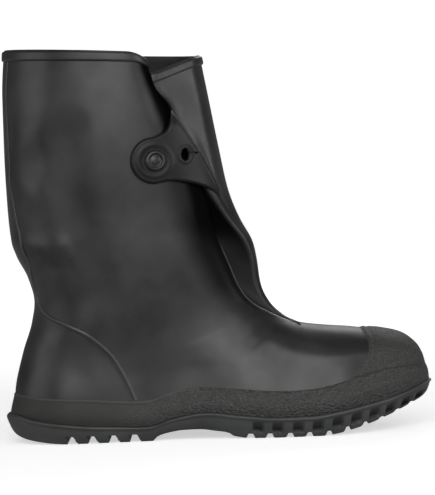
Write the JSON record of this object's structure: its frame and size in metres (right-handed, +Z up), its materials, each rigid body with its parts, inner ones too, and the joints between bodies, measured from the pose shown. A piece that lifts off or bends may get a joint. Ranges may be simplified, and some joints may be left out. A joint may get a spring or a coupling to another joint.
{
  "type": "rubber overshoe",
  "caption": "Tall black rubber overshoe for a right foot: folded front gusset closed by a strap and button, textured toe cap and foxing, lugged outsole.",
  "frame": {"origin": "on the floor under the middle of the shoe's overall box", "axes": "+X from heel to toe, +Y to the shoe's inner side, +Z up from the floor"},
  "size_m": [0.31, 0.1148, 0.2825],
  "materials": {
    "upper_rubber": "smooth satin black rubber",
    "stippled_rubber": "stippled matt black rubber",
    "tread_rubber": "matt black rubber",
    "button_rubber": "semi-gloss black rubber",
    "insole_cloth": "dark cloth"
  },
  "bodies": {
    "root": {"upper": "upper_rubber", "outsole": "tread_rubber", "insole": "insole_cloth", "foxing": "stippled_rubber", "toe_cap": "stippled_rubber", "heel_counter": "upper_rubber", "collar_band": "upper_rubber", "closure_strap": "upper_rubber", "button": "button_rubber"}
  },
  "joints": []
}
